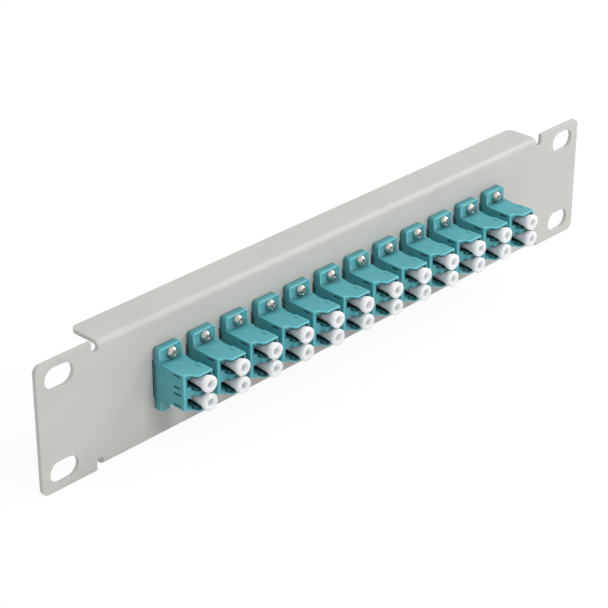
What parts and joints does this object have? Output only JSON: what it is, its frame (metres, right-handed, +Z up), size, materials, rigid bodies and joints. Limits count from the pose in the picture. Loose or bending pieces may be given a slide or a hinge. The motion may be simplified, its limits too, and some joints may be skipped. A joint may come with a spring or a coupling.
{
  "type": "fibre patch panel",
  "caption": "Ten-inch rack patch panel: a folded grey sheet front with a row of aqua duplex fibre couplers, white dust caps and slotted rack ears.",
  "frame": {"origin": "centre of the four rack slots, on the rear face of the sheet that rests on the rack rails", "axes": "+X along the panel to its right end as seen from the front, the front faces -Y, +Z up"},
  "size_m": [0.254, 0.0327, 0.044],
  "materials": {
    "panel_paint": "light grey powder coat",
    "coupler_plastic": "moulded aqua plastic, satin",
    "cap_plastic": "soft white plastic",
    "screw_steel": "bright plated steel",
    "sleeve_bronze": "plain phosphor bronze"
  },
  "bodies": {
    "panel": {"front_panel": "panel_paint", "coupler_01": "coupler_plastic", "coupler_02": "coupler_plastic", "coupler_03": "coupler_plastic", "coupler_04": "coupler_plastic", "coupler_05": "coupler_plastic", "coupler_06": "coupler_plastic", "coupler_07": "coupler_plastic", "coupler_08": "coupler_plastic", "coupler_09": "coupler_plastic", "coupler_10": "coupler_plastic", "coupler_11": "coupler_plastic", "coupler_12": "coupler_plastic", "flange_screws": "screw_steel", "flange_nuts": "screw_steel", "alignment_sleeves": "sleeve_bronze"},
    "dust_cap_01_upper": {"dust_cap_01_upper": "cap_plastic"},
    "dust_cap_01_lower": {"dust_cap_01_lower": "cap_plastic"},
    "dust_cap_02_upper": {"dust_cap_02_upper": "cap_plastic"},
    "dust_cap_02_lower": {"dust_cap_02_lower": "cap_plastic"},
    "dust_cap_03_upper": {"dust_cap_03_upper": "cap_plastic"},
    "dust_cap_03_lower": {"dust_cap_03_lower": "cap_plastic"},
    "dust_cap_04_upper": {"dust_cap_04_upper": "cap_plastic"},
    "dust_cap_04_lower": {"dust_cap_04_lower": "cap_plastic"},
    "dust_cap_05_upper": {"dust_cap_05_upper": "cap_plastic"},
    "dust_cap_05_lower": {"dust_cap_05_lower": "cap_plastic"},
    "dust_cap_06_upper": {"dust_cap_06_upper": "cap_plastic"},
    "dust_cap_06_lower": {"dust_cap_06_lower": "cap_plastic"},
    "dust_cap_07_upper": {"dust_cap_07_upper": "cap_plastic"},
    "dust_cap_07_lower": {"dust_cap_07_lower": "cap_plastic"},
    "dust_cap_08_upper": {"dust_cap_08_upper": "cap_plastic"},
    "dust_cap_08_lower": {"dust_cap_08_lower": "cap_plastic"},
    "dust_cap_09_upper": {"dust_cap_09_upper": "cap_plastic"},
    "dust_cap_09_lower": {"dust_cap_09_lower": "cap_plastic"},
    "dust_cap_10_upper": {"dust_cap_10_upper": "cap_plastic"},
    "dust_cap_10_lower": {"dust_cap_10_lower": "cap_plastic"},
    "dust_cap_11_upper": {"dust_cap_11_upper": "cap_plastic"},
    "dust_cap_11_lower": {"dust_cap_11_lower": "cap_plastic"},
    "dust_cap_12_upper": {"dust_cap_12_upper": "cap_plastic"},
    "dust_cap_12_lower": {"dust_cap_12_lower": "cap_plastic"}
  },
  "joints": [
    {"name": "dust_cap_01_upper_pull", "type": "slide", "parent": "panel", "child": "dust_cap_01_upper", "axis": [0, -1, 0], "range_m": [0, 0.02]},
    {"name": "dust_cap_01_lower_pull", "type": "slide", "parent": "panel", "child": "dust_cap_01_lower", "axis": [0, -1, 0], "range_m": [0, 0.02]},
    {"name": "dust_cap_02_upper_pull", "type": "slide", "parent": "panel", "child": "dust_cap_02_upper", "axis": [0, -1, 0], "range_m": [0, 0.02]},
    {"name": "dust_cap_02_lower_pull", "type": "slide", "parent": "panel", "child": "dust_cap_02_lower", "axis": [0, -1, 0], "range_m": [0, 0.02]},
    {"name": "dust_cap_03_upper_pull", "type": "slide", "parent": "panel", "child": "dust_cap_03_upper", "axis": [0, -1, 0], "range_m": [0, 0.02]},
    {"name": "dust_cap_03_lower_pull", "type": "slide", "parent": "panel", "child": "dust_cap_03_lower", "axis": [0, -1, 0], "range_m": [0, 0.02]},
    {"name": "dust_cap_04_upper_pull", "type": "slide", "parent": "panel", "child": "dust_cap_04_upper", "axis": [0, -1, 0], "range_m": [0, 0.02]},
    {"name": "dust_cap_04_lower_pull", "type": "slide", "parent": "panel", "child": "dust_cap_04_lower", "axis": [0, -1, 0], "range_m": [0, 0.02]},
    {"name": "dust_cap_05_upper_pull", "type": "slide", "parent": "panel", "child": "dust_cap_05_upper", "axis": [0, -1, 0], "range_m": [0, 0.02]},
    {"name": "dust_cap_05_lower_pull", "type": "slide", "parent": "panel", "child": "dust_cap_05_lower", "axis": [0, -1, 0], "range_m": [0, 0.02]},
    {"name": "dust_cap_06_upper_pull", "type": "slide", "parent": "panel", "child": "dust_cap_06_upper", "axis": [0, -1, 0], "range_m": [0, 0.02]},
    {"name": "dust_cap_06_lower_pull", "type": "slide", "parent": "panel", "child": "dust_cap_06_lower", "axis": [0, -1, 0], "range_m": [0, 0.02]},
    {"name": "dust_cap_07_upper_pull", "type": "slide", "parent": "panel", "child": "dust_cap_07_upper", "axis": [0, -1, 0], "range_m": [0, 0.02]},
    {"name": "dust_cap_07_lower_pull", "type": "slide", "parent": "panel", "child": "dust_cap_07_lower", "axis": [0, -1, 0], "range_m": [0, 0.02]},
    {"name": "dust_cap_08_upper_pull", "type": "slide", "parent": "panel", "child": "dust_cap_08_upper", "axis": [0, -1, 0], "range_m": [0, 0.02]},
    {"name": "dust_cap_08_lower_pull", "type": "slide", "parent": "panel", "child": "dust_cap_08_lower", "axis": [0, -1, 0], "range_m": [0, 0.02]},
    {"name": "dust_cap_09_upper_pull", "type": "slide", "parent": "panel", "child": "dust_cap_09_upper", "axis": [0, -1, 0], "range_m": [0, 0.02]},
    {"name": "dust_cap_09_lower_pull", "type": "slide", "parent": "panel", "child": "dust_cap_09_lower", "axis": [0, -1, 0], "range_m": [0, 0.02]},
    {"name": "dust_cap_10_upper_pull", "type": "slide", "parent": "panel", "child": "dust_cap_10_upper", "axis": [0, -1, 0], "range_m": [0, 0.02]},
    {"name": "dust_cap_10_lower_pull", "type": "slide", "parent": "panel", "child": "dust_cap_10_lower", "axis": [0, -1, 0], "range_m": [0, 0.02]},
    {"name": "dust_cap_11_upper_pull", "type": "slide", "parent": "panel", "child": "dust_cap_11_upper", "axis": [0, -1, 0], "range_m": [0, 0.02]},
    {"name": "dust_cap_11_lower_pull", "type": "slide", "parent": "panel", "child": "dust_cap_11_lower", "axis": [0, -1, 0], "range_m": [0, 0.02]},
    {"name": "dust_cap_12_upper_pull", "type": "slide", "parent": "panel", "child": "dust_cap_12_upper", "axis": [0, -1, 0], "range_m": [0, 0.02]},
    {"name": "dust_cap_12_lower_pull", "type": "slide", "parent": "panel", "child": "dust_cap_12_lower", "axis": [0, -1, 0], "range_m": [0, 0.02]}
  ]
}
